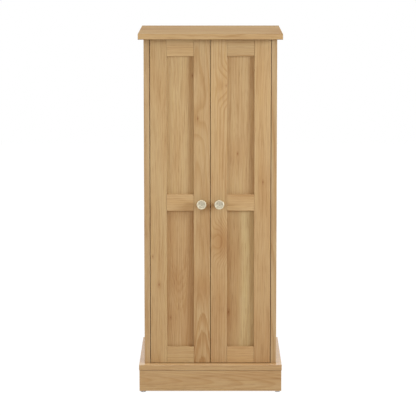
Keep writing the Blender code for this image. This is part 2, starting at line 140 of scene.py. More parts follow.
# Where each board's patterns start, times its own seed
PATTERN_DRIFT = Vector((1.3, 2.9, 0.7))
# How far the tree leans aside for each degree that it leans back
SIDE_LEAN = 0.35

# A knot is twice as long as it is wide. Within its reach rings bow and the wood is redder. Its dark core and
# paler halo have an inner and an outer edge in core radii and a strength, and streaks make both ragged
KNOT_SHAPE = 0.5
KNOT_REACH = 38 * MM
KNOT_STAINS = ((0.3, 1.4, 0.8), (0.8, 3.6, 0.3))
KNOT_RAGGED = 4 * MM

# Flames: how far from the tip their half width is given, how ragged they are, and where the outermost one
# starts and is full
FLAME_GAUGE = 100 * MM
FLAME_RAGGED = 45 * MM
FLAME_START, FLAME_FULL = -12 * MM, 4 * MM

# Half the width of the blurred line between heartwood and sapwood
SAPWOOD_BLUR = 8 * MM

# Lacquer: refraction of a clear coat, roughness between and in the streaks before any gloss, and the relief
# of the pores
LACQUER_IOR = 1.48
SMOOTHEST, ROUGHEST = 0.58, 0.70
PORE_RELIEF, PORE_DEPTH = 0.08, 0.3 * MM

# Edging of the top and base: its thickness, how far from the faces it ends, and how strong bands and rings
# are on it
EDGING_THICKNESS = 0.7 * MM
EDGING_INSET = 0.5 * MM
EDGING_BANDS = 0.3
EDGING_RINGS = 0.2

# Painted shade: the dark tone painted on the underside of the top and base, and how far it reaches onto their
# edging, where it darkens the lower corner of the edge; the colours and chip size of what shows from behind,
# and how far before the rear that starts and how blurred
PAINTED_UNDERSIDE_SHADE = "#84725C"
PAINTED_SHADE_REACH = 0.3 * MM
CHIPBOARD = (("#A98660", "#C7A77E", "#D9C19C"), 3.2 * MM)
HARDBOARD = (("#876543", "#91704B", "#9B7B55"), 1.6 * MM)
CHIP_STOPS = (0.1, 0.5, 0.9)
REAR_EDGE = 0.5 * MM
RAW_BLUR = 0.2 * MM

# Tones that multiply the print: the base panel's stays as above, as painted light on its ledge, and the
# others are darker
TONES = {
    "light": "#E4E2DE", "even": "#DFDFDC", "warm": "#DBD8D4", "pink": "#D8D2CC", "red": "#D2CBC2",
    "cool": "#DADBDE", "green": "#CFD0CA", "sap": "#DEE3DF", "straw": "#D6CFBF", "painted_ledge_light": WHITE,
}
BOARD_TONES = {
    "left_door_hinge_stile": "even", "left_door_upper_panel": "even", "left_door_top_rail": "light",
    "left_door_middle_rail": "light", "left_door_bottom_rail": "even", "right_door_middle_rail": "light",
    "right_door_bottom_rail": "light", "right_door_hinge_stile": "pink", "right_door_upper_panel": "warm",
    "right_door_top_rail": "warm", "plinth_front": "warm", "left_door_meeting_stile": "warm",
    "right_door_lower_panel": "red", "base_panel_edge": "straw", "left_door_lower_panel": "pink",
    "right_door_meeting_stile": "pink", "left_side_panel": "cool", "right_side_panel": "cool",
    # The base panel's tone is painted light: its ledge is paler than the other boards
    "top_panel_edge": "warm", "top_panel": "green", "base_panel": "painted_ledge_light",
}

# Boards that grow paler along the grain: the tone at the higher end
END_TONES = {"right_door_hinge_stile": "light", "right_door_meeting_stile": "light"}

# Boards with paler sapwood on the right: its tone, and where across the board it starts, in m
SAPWOOD = {"right_door_lower_panel": ("sap", 0.081)}

# The boards whose growth rings show: the tree's centre aside of the board's middle and behind it in mm,
# how far the tree leans in degrees, and how strongly the rings show at the board's two ends
FIGURES = {
    "left_door_meeting_stile": (-3, 14, 1.8, 0.4, 0.6),
    "right_door_meeting_stile": (33, 10, 0.7, 0.5, 0.7),
    "left_door_lower_panel": (8, 16, -2.2, 0.6, 0.6),
    "plinth_front": (-4, 15, 3.6, 0.55, 0.55),
    "top_panel": (30, 25, 1.5, 0.6, 0.6),
    "left_side_panel": (35, 30, 1.6, 0.7, 0.7),
    "right_side_panel": (-45, -26, -1.4, 0.7, 0.7),
}

# The other boards: the ranges from which chance draws those three numbers and, for every board, the seed of
# its patterns, and how faintly their rings show
CHANCE_SEED = 11
ASIDE_RANGE = (35, 70)
BEHIND_RANGE = (12, 30)
LEAN_RANGE = (1.2, 2.6)
SEED_RANGE = (0, 9)
FAINT_RINGS = 0.3

# Flames of flat-sawn wood, one inside the other: across and along of the tip in m, half width in mm where
# FLAME_GAUGE says, the spacing of the flames and their reach from the tip in mm, where minus points the tip
# down, and how strongly they show
FLAMES = {
    "left_door_meeting_stile": [(-0.0215, 0.2146, 25, 60, 60, 0.75), (-0.0215, 0.168, 25, 71, 190, 0.75)],
    "left_door_lower_panel": [(-0.083, 0.215, 30, 24, -150, 0.35)],
}

# Knots: across and along the board in m, radius of the dark core in mm, how many rings bow round it, and how
# much redder the wood is there; without a core it is the swirl over a knot that doesn't show
KNOTS = {
    "left_door_meeting_stile": [(-0.033, 0.735, 1.4, 1.2, 0.3), (-0.022, 0.285, 0, 0.3, 0.75)],
    "right_door_meeting_stile": [(0.042, 0.822, 1.2, 3, 0.25), (0.031, 0.405, 0, 5, 0.95)],
    "left_door_upper_panel": [(-0.0475, 0.848, 1.6, 1, 0.2)],
    "right_door_upper_panel": [(0.072, 0.640, 1.4, 1, 0.45)],
    "right_door_lower_panel": [(0.0485, 0.213, 2.2, 1, 0.45), (0.054, 0.37, 0, 0.5, 0.45)],
    "right_door_hinge_stile": [(0.140, 0.565, 1.6, 1, 0.15)],
    "left_door_hinge_stile": [(-0.154, 0.365, 1.3, 1, 0.15), (-0.137, 0.289, 2.4, 1.5, 0.15)],
    "left_door_lower_panel": [(-0.1065, 0.198, 1.6, 1, 0.45), (-0.098, 0.30, 0, 0.5, 0.45)],
    "plinth_front": [(0.169, 0.023, 1.4, 1, 0.45)],
    "left_side_panel": [(-0.060, 0.560, 2.0, 1.5, 0.45), (0.090, 0.270, 1.5, 1, 0.45)],
    "right_side_panel": [(0.050, 0.690, 1.8, 1.5, 0.45), (-0.100, 0.330, 2.2, 1.2, 0.45)],
    "top_panel": [(0.070, -0.095, 1.8, 1, 0.45)],
}

# Knobs: brush strokes are 0.2 mm wide and turning marks 0.4 mm apart, and both are drawn coarser so that they
# show. The rim is given in shares of the knob's radius and takes a paler colour than the face, a painted
# highlight; the darker neck is given in depths behind its front
BRUSH_WIDTH, BRUSH_SHAPE = 2.6 * MM, 0.45
BRUSH_TURNS = (25, -65)
TURNING_SPACING = 0.8 * MM
RIM_START, RIM_FULL = 0.69, 0.75
NECK_START, NECK_FULL = 3 * MM, 9 * MM
FACE_STOPS = [(0.16, "#A79D87"), (0.25, "#BDB29B"), (0.34, "#D2C7AD")]
# The neck's colours, whose pale front end is the painted highlight on the rim
RIM_HIGHLIGHT_NECK_STOPS = [(0.0, "#D8CDB2"), (0.6, "#BFB49B"), (1.0, "#9C927B")]
FACE_ROUGHNESS, RIM_ROUGHNESS = 0.42, 0.34

# Finishes with an even grain: where their three colours lie, and how much roughness swings with them
SPECKLE_STOPS = (0.35, 0.5, 0.65)
SPECKLE_SWING = 0.07

# Sawn pine of the corner blocks
PINE_RING_SPACING = 3 * MM
PINE_FIBRE = 1 * MM
PINE_SHAPE = 0.05
PINE_HEART = (0.05, 0.03, 0)
PINE_STOPS = [(0.3, "#E3C79C"), (0.85, "#CFA56F"), (1.0, "#E3C79C")]

# Screws with a cross recess: steps round a quarter of the head in degrees, the tip in shank radii, and the
# profile of the head and its recess in shares of the head's radius and height.
# Sizes are radius and height of the head, and radius and length of the shank
SCREW_STEPS = (0, 16, 30, 45, 60, 74)
TIP_RADIUS = 0.4
TIP_LENGTH = 1.5
HEAD_PROFILE = ((1.0, 0), (1.0, 0.35), (0.93, 0.65), (0.78, 0.9), (0.66, 1.0))
RECESS_ARM = 0.55
RECESS_HALF_WIDTH = 0.16
RECESS_DEPTH = 0.7
RECESS_TAPER = 0.75
CATCH_SCREW = (2.9 * MM, 1.7 * MM, 1.4 * MM, 14 * MM)
STRIKE_SCREW = (1.65 * MM, 1.0 * MM, 1.2 * MM, 9 * MM)
KNOB_SCREW_SHANK = 2 * MM
# Where they sit: the catch's ear starts this far beside the magnet and is this thick, the strike's screw is
# sunk this deep into its plate, and the knob's screw stands this far off the door
BESIDE_MAGNET = 3.3 * MM
EAR_THICKNESS = 2 * MM
STRIKE_SEAT = 1.1 * MM
KNOB_SCREW_SEAT = 0.3 * MM

# Caps over the cam fittings: their radius, their profile in shares of it and heights, and how far they are
# from the joined board and from the shelf's front and rear
CAM_COVER_RADIUS = 8.5 * MM
CAM_COVER_PROFILE = ((1.0, 0), (1.0, 0.7 * MM), (0.96, 1.1 * MM), (0.88, 1.2 * MM), (0.82, 1.0 * MM),
                     (0.3, 0.95 * MM))
CAM_EDGE_DISTANCE = 34 * MM
CAM_FRONT_DISTANCE = 50 * MM

# All added pieces: edges above this angle stay sharp, and this gap keeps pieces clear of what they sit on
SMOOTH_ANGLE = math.radians(35)
SEAT_GAP = 0.05 * MM


def linear(code):
    """An sRGB hex colour as linear red, green, blue and alpha."""
    parts = [int(code[i:i + 2], 16) / 255 for i in (1, 3, 5)]
    return [p / 12.92 if p <= 0.04045 else ((p + 0.055) / 1.055) ** 2.4 for p in parts] + [1.0]


def add(tree, kind, inputs=None, out=0, **fields):
    """Add a node, set its fields, fill its inputs with values or links, and return one output."""
    node = tree.nodes.new("ShaderNode" + kind)
    for field, value in fields.items():
        if field == "stops":
            elements = node.color_ramp.elements
            while len(elements) < len(value):
                elements.new(1.0)
            for element, (place, code) in zip(elements, value):
                element.position = place
                element.color = linear(code)
        else:
            setattr(node, field, value)
    for key, value in (inputs or {}).items():
        if isinstance(value, bpy.types.NodeSocket):
            tree.links.new(value, node.inputs[key])
        else:
            node.inputs[key].default_value = value
    return node.outputs[out]


def new_material(name):
    """A material with only a Principled BSDF; returns it with its tree and shader."""
    material = bpy.data.materials.new(name)
    material.use_nodes = True
    tree = material.node_tree
    return material, tree, tree.nodes["Principled BSDF"]


@dataclass
class Cut:
    """How one board's print was cut from the tree that it shows.

    along, across and behind name the axes of the grain, of the board's width and of its thickness. ends are
    the lowest and highest place along the grain. heart is where the tree's centre lies across and behind.
    tilt leans the tree, which draws the pointed arches of a flat-sawn board, and figure is how strongly the
    growth rings show at the two ends. seed moves the patterns. tone is the board's own, and end_tone the one
    at its higher end. knots, flames and sapwood are its entries in the tables above. bands and streaks are
    the strength of those, and gloss is that of the lacquer. Between the two heights in edging the edges have
    a foil of edging_tone, and face_roughness is then the roughness of the faces. Behind raw_from the board
    has no print but the colours and chip size in raw.
    """
    along: str
    across: str
    behind: str
    ends: tuple
    heart: tuple
    tilt: float
    figure: list
    seed: float
    tone: str
    knots: list
    flames: list
    sapwood: tuple
    end_tone: str = None
    bands: float = 0.4
    streaks: float = 0.6
    gloss: float = 0.25
    edging: tuple = ()
    edging_tone: str = WHITE
    face_roughness: float = None
    raw_from: float = None
    raw: tuple = ()


def grain_pattern(tree, grain, drift, pattern):
    """One pattern of the print, drawn out along the grain and moved by drift."""
    width, shape, detail, roughness = pattern
    place = add(tree, "Mapping", {"Vector": grain, "Location": drift, "Scale": (1, 1, shape)})
    return add(tree, "TexNoise", {"Vector": place, "Scale": 1 / width, "Detail": detail,
                                  "Roughness": roughness})


def growth_rings(tree, cut, grain, bow):
    """Rings round the tree's centre, which wander slowly along the trunk and bow round knots."""
    lean = Euler((cut.tilt, cut.tilt * SIDE_LEAN, 0))
    shift = -(lean.to_matrix() @ Vector((cut.heart[0] + GRAIN_SWAY, cut.heart[1], 0)))
    trunk = add(tree, "Mapping", {"Vector": grain, "Location": shift, "Rotation": lean})
    trunk = add(tree, "Mapping", {"Vector": trunk, "Scale": (1, 1, RING_SHAPE)})
    return add(tree, "TexWave", {"Vector": trunk, "Scale": WAVE_LENGTH / RING_SPACING, "Distortion": 3,
                                 "Detail": 2, "Detail Scale": 0.5, "Detail Roughness": 0.5,
                                 "Phase Offset": bow},
               out="Fac", wave_type="RINGS", rings_direction="Z", wave_profile="SAW")


def knot_marks(tree, cut, wide, long, streaks):
    """How far a board's rings bow round its knots, how red the wood is there, and how dark the knots are."""
    bow, blush, dark = cut.seed, None, None
    flat = add(tree, "CombineXYZ", {"X": wide, "Y": long})
    flat = add(tree, "Mapping", {"Vector": flat, "Scale": (1, KNOT_SHAPE, 1)})
    for across, along, core, rings, redness in cut.knots:
        point = (across, along * KNOT_SHAPE, 0)
        distance = add(tree, "VectorMath", {0: flat, 1: point}, out="Value", operation="DISTANCE")
        near = add(tree, "MapRange", {"Value": distance, "From Max": KNOT_REACH,
                                      "To Min": 1.0, "To Max": 0.0}, **SOFT)
        bow = add(tree, "Math", {0: near, 1: rings * 2 * math.pi, 2: bow}, operation="MULTIPLY_ADD")
        redder = add(tree, "Math", {0: near, 1: redness}, operation="MULTIPLY")
        blush = add(tree, "Math", {0: redder, 1: blush}, operation="MAXIMUM") if blush else redder
        if not core:
            continue
        ragged = add(tree, "Math", {0: streaks, 1: KNOT_RAGGED, 2: distance}, operation="MULTIPLY_ADD")
        for inner, outer, strength in KNOT_STAINS:
            start = inner * core * MM + KNOT_RAGGED / 2
            stop = outer * core * MM + KNOT_RAGGED / 2
            spot = add(tree, "MapRange", {"Value": ragged, "From Min": start, "From Max": stop,
                                          "To Min": strength, "To Max": 0.0}, **SOFT)
            dark = add(tree, "Math", {0: spot, 1: dark}, operation="MAXIMUM") if dark else spot
    return bow, blush, dark


def flame_figure(tree, cut, colour, swayed, long, streaks):
    """Draw a board's flames, one inside the other, over its colour."""
    for across, along, half_width, spacing, reach, strength in cut.flames:
        # depth is how far inside the outermost flame a place lies; its outline is a parabola from the tip
        way = math.copysign(1, reach)
        aside = add(tree, "Math", {0: swayed, 1: across + GRAIN_SWAY}, operation="SUBTRACT")
        aside = add(tree, "Math", {0: aside, 1: aside}, operation="MULTIPLY")
        below = add(tree, "Math", {0: long, 1: -way, 2: way * along}, operation="MULTIPLY_ADD")
        bend = -FLAME_GAUGE / (half_width * MM) ** 2
        depth = add(tree, "Math", {0: aside, 1: bend, 2: below}, operation="MULTIPLY_ADD")
        ragged = add(tree, "Math", {0: streaks, 1: FLAME_RAGGED, 2: depth}, operation="MULTIPLY_ADD")
        step = spacing * MM
        turns = add(tree, "Math", {0: ragged, 1: 1 / step, 2: -FLAME_RAGGED / 2 / step},
                    operation="MULTIPLY_ADD")
        turns = add(tree, "Math", {0: turns}, operation="FRACT")
        flame = add(tree, "ValToRGB", {"Fac": turns}, stops=FLAME_STOPS)
        inside = add(tree, "MapRange", {"Value": depth, "From Min": FLAME_START,
                                        "From Max": FLAME_FULL}, **SOFT)
        far = abs(reach) * MM
        within = add(tree, "MapRange", {"Value": depth, "From Min": far / 2, "From Max": far,
                                        "To Min": strength, "To Max": 0.0}, **SOFT)
        inside = add(tree, "Math", {0: inside, 1: within}, operation="MULTIPLY")
        colour = add(tree, "Mix", {0: inside, 6: colour, 7: flame}, **MULTIPLY)
    return colour


def board_tone(tree, cut, swayed, long, thick, edge):
    """The tone that darkens a board's whole print, with its higher end, sapwood, edging and painted shade
    below.
    """
    tone = linear(cut.tone)
    if cut.end_tone:
        share = add(tree, "MapRange", {"Value": long, "From Min": cut.ends[0], "From Max": cut.ends[1]})
        tone = add(tree, "Mix", {0: share, 6: tone, 7: linear(cut.end_tone)}, **BLEND)
    if cut.sapwood:
        sap_tone, start = cut.sapwood
        start += GRAIN_SWAY
        sap = add(tree, "MapRange", {"Value": swayed, "From Min": start - SAPWOOD_BLUR,
                                     "From Max": start + SAPWOOD_BLUR}, **SOFT)
        tone = add(tree, "Mix", {0: sap, 6: tone, 7: linear(TONES[sap_tone])}, **BLEND)
    if cut.edging:
        tone = add(tree, "Mix", {0: edge, 6: tone, 7: linear(cut.edging_tone)}, **BLEND)
        # Painted shade: a dark tone on the underside below the foil, which darkens the lower corner of the
        # edge
        painted_shade_below = add(tree, "Math", {0: thick, 1: cut.edging[0] + PAINTED_SHADE_REACH}, operation="LESS_THAN")
        tone = add(tree, "Mix", {0: painted_shade_below, 6: tone, 7: linear(PAINTED_UNDERSIDE_SHADE)}, **BLEND)
    return tone


def raw_rear(tree, cut, colour, straight, rearward):
    """Behind raw_from, chips of particle board or felted fibres of hardboard in place of the print."""
    colours, size = cut.raw
    chips = add(tree, "TexVoronoi", {"Vector": straight, "Scale": 1 / size}, out="Color")
    chips = add(tree, "ValToRGB", {"Fac": chips}, stops=list(zip(CHIP_STOPS, colours)))
    rear = add(tree, "MapRange", {"Value": rearward, "From Min": cut.raw_from,
                                  "From Max": cut.raw_from + RAW_BLUR})
    return add(tree, "Mix", {0: rear, 6: colour, 7: chips}, **BLEND)


def oak_effect(name, cut):
    """Oak-effect foil on particle board: a print of flat-sawn oak under satin lacquer.

    It gives the eye soft honey and russet bands, fine streaks that sway a little, growth rings on some boards
    and a few knots, with little shine.
    """
    material, tree, shader = new_material(name)
    axes = add(tree, "SeparateXYZ", {0: add(tree, "TexCoord", out="Object")}).node.outputs
    wide, long, thick = axes[cut.across], axes[cut.along], axes[cut.behind]
    banding, edge = cut.bands, None
    if cut.edging:
        low, high = cut.edging
        edge = add(tree, "Math", {0: thick, 1: (low + high) / 2, 2: (high - low) / 2}, operation="COMPARE")
        banding = add(tree, "Mix", {0: edge, 2: cut.bands, 3: EDGING_BANDS})
        # The edging on the board's two ends has its grain along the edge
        reach = (cut.ends[1] - cut.ends[0]) / 2 - EDGING_THICKNESS
        board = add(tree, "Math", {0: long, 1: sum(cut.ends) / 2, 2: reach}, operation="COMPARE")
        turned = add(tree, "Mix", {0: board, 2: long, 3: wide})
        long = add(tree, "Mix", {0: board, 2: wide, 3: long})
        wide = turned
    straight = add(tree, "CombineXYZ", {"X": wide, "Y": thick, "Z": long})
    drift = PATTERN_DRIFT * cut.seed

    # The grain sways, and bands, streaks, pores and growth rings follow it
    sway = grain_pattern(tree, straight, drift, SWAY)
    swayed = add(tree, "Math", {0: sway, 1: 2 * GRAIN_SWAY, 2: wide}, operation="MULTIPLY_ADD")
    grain = add(tree, "CombineXYZ", {"X": swayed, "Y": thick, "Z": long})
    bands = grain_pattern(tree, grain, drift, BANDS)
    streaks = grain_pattern(tree, grain, drift, STREAKS)
    pores = grain_pattern(tree, grain, drift, PORES)
    bow, blush, dark = knot_marks(tree, cut, wide, long, streaks)
    rings = growth_rings(tree, cut, grain, bow)
    figure = add(tree, "MapRange", {"Value": long, "From Min": cut.ends[0], "From Max": cut.ends[1],
                                    "To Min": cut.figure[0], "To Max": cut.figure[1]})
    if cut.edging:
        figure = add(tree, "Mix", {0: edge, 2: figure, 3: EDGING_RINGS})

    # Each pattern colours what is there; then come the board's tone and its raw rear
    colour = add(tree, "ValToRGB", {"Fac": bands}, stops=BAND_STOPS)
    colour = add(tree, "Mix", {0: banding, 6: linear(HONEY), 7: colour}, **BLEND)
    for pattern, strength, stops in ((streaks, cut.streaks, STREAK_STOPS), (rings, figure, RING_STOPS),
                                     (pores, PORE_STRENGTH, PORE_STOPS)):
        layer = add(tree, "ValToRGB", {"Fac": pattern}, stops=stops)
        colour = add(tree, "Mix", {0: strength, 6: colour, 7: layer}, **MULTIPLY)
    colour = flame_figure(tree, cut, colour, swayed, long, streaks)
    if blush:
        colour = add(tree, "Mix", {0: blush, 6: colour, 7: linear(BLUSH)}, **MULTIPLY)
    if dark:
        colour = add(tree, "Mix", {0: dark, 6: colour, 7: linear(KNOT)}, **BLEND)
    tone = board_tone(tree, cut, swayed, long, thick, edge)
    colour = add(tree, "Mix", {0: 1.0, 6: colour, 7: tone}, **MULTIPLY)
    if cut.raw:
        colour = raw_rear(tree, cut, colour, straight, axes["Y"])
    tree.links.new(colour, shader.inputs["Base Color"])

    # Lacquer: streaks are a little rougher, and more gloss is smoother
    polish = cut.gloss / 2
    rough = add(tree, "MapRange", {"Value": streaks, "To Min": ROUGHEST - polish,
                                   "To Max": SMOOTHEST - polish})
    if cut.face_roughness:
        rough = add(tree, "Mix", {0: edge, 2: cut.face_roughness, 3: rough})
    tree.links.new(rough, shader.inputs["Roughness"])
    relief = add(tree, "Bump", {"Height": pores, "Strength": PORE_RELIEF, "Distance": PORE_DEPTH})
    tree.links.new(relief, shader.inputs["Normal"])
    shader.inputs["IOR"].default_value = LACQUER_IOR
    shader.inputs["Specular IOR Level"].default_value = cut.gloss
    return material


def satin_nickel(name, low, high):
    """Satin nickel: a turned knob, plated, with a smoother rim round a face brushed in crossing strokes.

    It gives the eye a bright ivory ring round a greyer, patchy face, the ring partly from its smoother finish
    and partly a painted highlight in its paler colour, and faint turning marks on the neck.
    """
    material, tree, shader = new_material(name)
    middle = (low + high) / 2
    reach = (high.x - low.x) / 2
    place = add(tree, "TexCoord", out="Object")
    local = add(tree, "VectorMath", {0: place, 1: (middle.x, low.y, middle.z)}, operation="SUBTRACT")
    disc = add(tree, "VectorMath", {0: local, 1: (1, 0, 1)}, operation="MULTIPLY")
    radius = add(tree, "VectorMath", {0: disc}, out="Value", operation="LENGTH")
    depth = add(tree, "SeparateXYZ", {0: local}, out="Y")
    strokes = None
    for turn in BRUSH_TURNS:
        way = add(tree, "Mapping", {"Vector": local, "Rotation": (0, math.radians(turn), 0)})
        way = add(tree, "Mapping", {"Vector": way, "Scale": (1, 1, BRUSH_SHAPE)})
        stroke = add(tree, "TexNoise", {"Vector": way, "Scale": 1 / BRUSH_WIDTH, "Detail": 2,
                                        "Roughness": 0.6})
        strokes = add(tree, "Math", {0: strokes, 1: stroke}, operation="MULTIPLY") if strokes else stroke
    face = add(tree, "ValToRGB", {"Fac": strokes}, stops=FACE_STOPS)
    neck = add(tree, "MapRange", {"Value": depth, "From Min": NECK_START, "From Max": NECK_FULL})
    painted_highlight_and_neck = add(tree, "ValToRGB", {"Fac": neck}, stops=RIM_HIGHLIGHT_NECK_STOPS)
    rim_and_painted_highlight = add(tree, "MapRange", {"Value": radius, "From Min": RIM_START * reach,
                                 "From Max": RIM_FULL * reach})
    # The rim takes the pale front of the neck's colours: a painted highlight
    colour = add(tree, "Mix", {0: rim_and_painted_highlight, 6: face, 7: painted_highlight_and_neck}, **BLEND)
    tree.links.new(colour, shader.inputs["Base Color"])
    rough = add(tree, "MapRange", {"Value": rim_and_painted_highlight, "To Min": FACE_ROUGHNESS, "To Max": RIM_ROUGHNESS})
    tree.links.new(rough, shader.inputs["Roughness"])
    marks = add(tree, "TexWave", {"Vector": disc, "Scale": WAVE_LENGTH / TURNING_SPACING, "Distortion": 0.4},
                out="Fac", wave_type="RINGS", rings_direction="Y")
    height = add(tree, "Mix", {0: rim_and_painted_highlight, 2: strokes, 3: marks})
    relief = add(tree, "Bump", {"Height": height, "Strength": 0.25, "Distance": 0.1 * MM})
    tree.links.new(relief, shader.inputs["Normal"])
    shader.inputs["Metallic"].default_value = 1.0
    return material


def speckled(name, grain_mm, colours, roughness, relief_mm, metallic=0.0):
    """A finish with an even grain: soft patches of three colours; roughness and relief follow them."""
    material, tree, shader = new_material(name)
    place = add(tree, "TexCoord", out="Object")
    grain = add(tree, "TexNoise", {"Vector": place, "Scale": 1 / (grain_mm * MM), "Detail": 3,
                                   "Roughness": 0.6})
    colour = add(tree, "ValToRGB", {"Fac": grain}, stops=list(zip(SPECKLE_STOPS, colours)))
    tree.links.new(colour, shader.inputs["Base Color"])
    rough = add(tree, "MapRange", {"Value": grain, "From Min": 0.3, "From Max": 0.7,
                                   "To Min": roughness + SPECKLE_SWING, "To Max": roughness - SPECKLE_SWING})
    tree.links.new(rough, shader.inputs["Roughness"])
    bump = add(tree, "Bump", {"Height": grain, "Strength": 0.3, "Distance": relief_mm * MM})
    tree.links.new(bump, shader.inputs["Normal"])
    shader.inputs["Metallic"].default_value = metallic
    return material


def sawn_pine():
    """Sawn pine of the glued corner blocks: pale and yellow, with darker growth rings and no shine."""
    material, tree, shader = new_material("sawn_pine")
    place = add(tree, "TexCoord", out="Object")
    place = add(tree, "Mapping", {"Vector": place, "Location": PINE_HEART, "Scale": (1, 1, PINE_SHAPE)})
    rings = add(tree, "TexWave", {"Vector": place, "Scale": WAVE_LENGTH / PINE_RING_SPACING, "Distortion": 2,
                                  "Detail": 2, "Detail Scale": 0.6},
                out="Fac", wave_type="RINGS", rings_direction="Z", wave_profile="SAW")
    colour = add(tree, "ValToRGB", {"Fac": rings}, stops=PINE_STOPS)
    tree.links.new(colour, shader.inputs["Base Color"])
    fibre = add(tree, "TexNoise", {"Vector": place, "Scale": 1 / PINE_FIBRE, "Detail": 2})
    rough = add(tree, "MapRange", {"Value": fibre, "To Min": 0.7, "To Max": 0.9})
    tree.links.new(rough, shader.inputs["Roughness"])
    bump = add(tree, "Bump", {"Height": fibre, "Strength": 0.4, "Distance": 0.3 * MM})
    tree.links.new(bump, shader.inputs["Normal"])
    return material


def dress(node, material):
    """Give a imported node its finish."""
    mesh = bpy.data.objects[node].data
    mesh.materials.clear()
    mesh.materials.append(material)


def grain_axes(node):
    """The axes along a board's grain, across it and through its thickness."""
    if "side_panel" in node:
        return "Z", "Y", "X"
    if "stile" in node or node.endswith(("upper_panel", "lower_panel", "back_panel")):
        return "Z", "X", "Y"
    if node in ("plinth_left", "plinth_right"):
        return "Y", "Z", "X"
    if "rail" in node or node.startswith("plinth"):
        return "X", "Z", "Y"
    return "X", "Y", "Z"


def cut_board(node, chance):
    """The cut of one board's print; chance chooses the tree where no figure is given."""
    low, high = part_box(node)
    middle = (low + high) / 2
    along, across, behind = grain_axes(node)
    aside = chance.choice((-1, 1)) * chance.uniform(*ASIDE_RANGE)
    depth = chance.uniform(*BEHIND_RANGE)
    tilt = chance.choice((-1, 1)) * chance.uniform(*LEAN_RANGE)
    seed = chance.uniform(*SEED_RANGE)
    aside, depth, tilt, *figure = FIGURES.get(node, (aside, depth, tilt, FAINT_RINGS, FAINT_RINGS))
    heart = (middle[AXES.index(across)] + aside * MM, middle[AXES.index(behind)] + depth * MM)
    ends = (low[AXES.index(along)], high[AXES.index(along)])
    cut = Cut(along, across, behind, ends, heart, math.radians(tilt), figure, seed,
              TONES[BOARD_TONES.get(node, "even")],
              KNOTS.get(node, []), FLAMES.get(node, []), SAPWOOD.get(node, ()))
    if node in END_TONES:
        cut.end_tone = TONES[END_TONES[node]]
    if node in ("top_panel", "base_panel"):
        cut.edging = (low.z + EDGING_INSET, high.z - EDGING_INSET)
        cut.edging_tone = TONES[BOARD_TONES[node + "_edge"]]
    if node == "top_panel":
        # Its print is bolder and its lacquer duller
        cut.bands, cut.streaks, cut.gloss = 1.0, 0.8, 0.12
    if node == "base_panel":
        # Its lacquer is glossier, so that the ledge mirrors the doors a little
        cut.face_roughness, cut.gloss = 0.25, 0.65
    if node in ("top_panel", "base_panel", "left_side_panel", "right_side_panel"):
        cut.raw_from, cut.raw = cad_box[1][1] - REAR_EDGE, CHIPBOARD
    if node == "back_panel":
        cut.raw_from, cut.raw = middle.y, HARDBOARD
    return cut


def dress_boards():
    """Every oak-effect board, and the printed back, gets its own cut of the print."""
    chance = random.Random(CHANCE_SEED)
    for entry in sorted(frame["record"]["subparts"], key=lambda e: e["node"]):
        node = entry["node"]
        if entry["material_slot"] in ("oak_carcass", "oak_door", "hardboard"):
            dress(node, oak_effect("oak_effect_" + node, cut_board(node, chance)))


def dress_fittings():
    """Knobs, pins, plates, glides and blocks; returns the finishes that the added fasteners share."""
    # Zinc-plated steel: grey with a bluish, slightly cloudy sheen
    steel = speckled("zinc_plated_steel", 4, ("#A9AFB6", "#BEC3C6", "#CBCABF"), 0.38, 0.02, 1.0)
    # Moulded nylon: dull and nearly white, with the fine grain of a spark-eroded mould
    nylon = speckled("moulded_nylon", 1.2, ("#C4C5C6", "#CBCBC9", "#D2D1CD"), 0.5, 0.05)
    # Brown nylon of the bushes, toned to the wood
    brown_nylon = speckled("brown_nylon", 1.2, ("#5F432C", "#684A31", "#705137"), 0.5, 0.05)
    # Sintered ferrite: nearly black and matt, with pale grains
    ferrite = speckled("sintered_ferrite", 0.8, ("#2F2F30", "#3A3A3B", "#4A4949"), 0.62, 0.05)
    finishes = {"steel": steel, "nylon": nylon, "pine": sawn_pine()}
    for entry in frame["record"]["subparts"]:
        node, slot = entry["node"], entry["material_slot"]
        if slot == "nickel":
            dress(node, satin_nickel("satin_nickel_" + node, *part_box(node)))
        elif slot in finishes:
            dress(node, brown_nylon if "bush" in node else ferrite if "magnet" in node else finishes[slot])
    return steel, nylon


def loft(name, rings, place, facing, material, painted_highlight_and_neck):
    """A closed piece with filled ends, through rings of points that stand on place and rise along facing."""
    turn = Vector((0, 0, 1)).rotation_difference(Vector(facing)).to_matrix()
    bm = bmesh.new()
    loops = [[bm.verts.new(Vector(place) + turn @ Vector(point)) for point in points] for points in rings]
    bm.faces.new(loops[0][::-1])
    bm.faces.new(loops[-1])
    for lower, upper in zip(loops, loops[1:]):
        for i in range(len(lower)):
            j = (i + 1) % len(lower)
            bm.faces.new((lower[i], lower[j], upper[j], upper[i]))
    mesh = bpy.data.meshes.new(name)
    bm.to_mesh(mesh)
    bm.free()
    mesh.shade_smooth()
    mesh.set_sharp_from_angle(angle=SMOOTH_ANGLE)
    mesh.materials.append(material)
    piece = bpy.data.objects.new(name, mesh)
    bpy.context.scene.collection.objects.link(piece)
    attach(piece, painted_highlight_and_neck)
    return piece


def ring(radius, height, recess=False):
    """A ring of points at the steps of a screw's head: round, or the outline of its cross recess."""
    points = []
    for quarter in range(4):
        for step in SCREW_STEPS:
            reach = radius
            if recess:
                slant = math.radians(min(step, 90 - step))
                reach = radius * RECESS_ARM / math.cos(slant)
                if slant > 0:
                    reach = min(reach, radius * RECESS_HALF_WIDTH / math.sin(slant))
            angle = math.radians(90 * quarter + step)
            points.append((reach * math.cos(angle), reach * math.sin(angle), height))
    return points


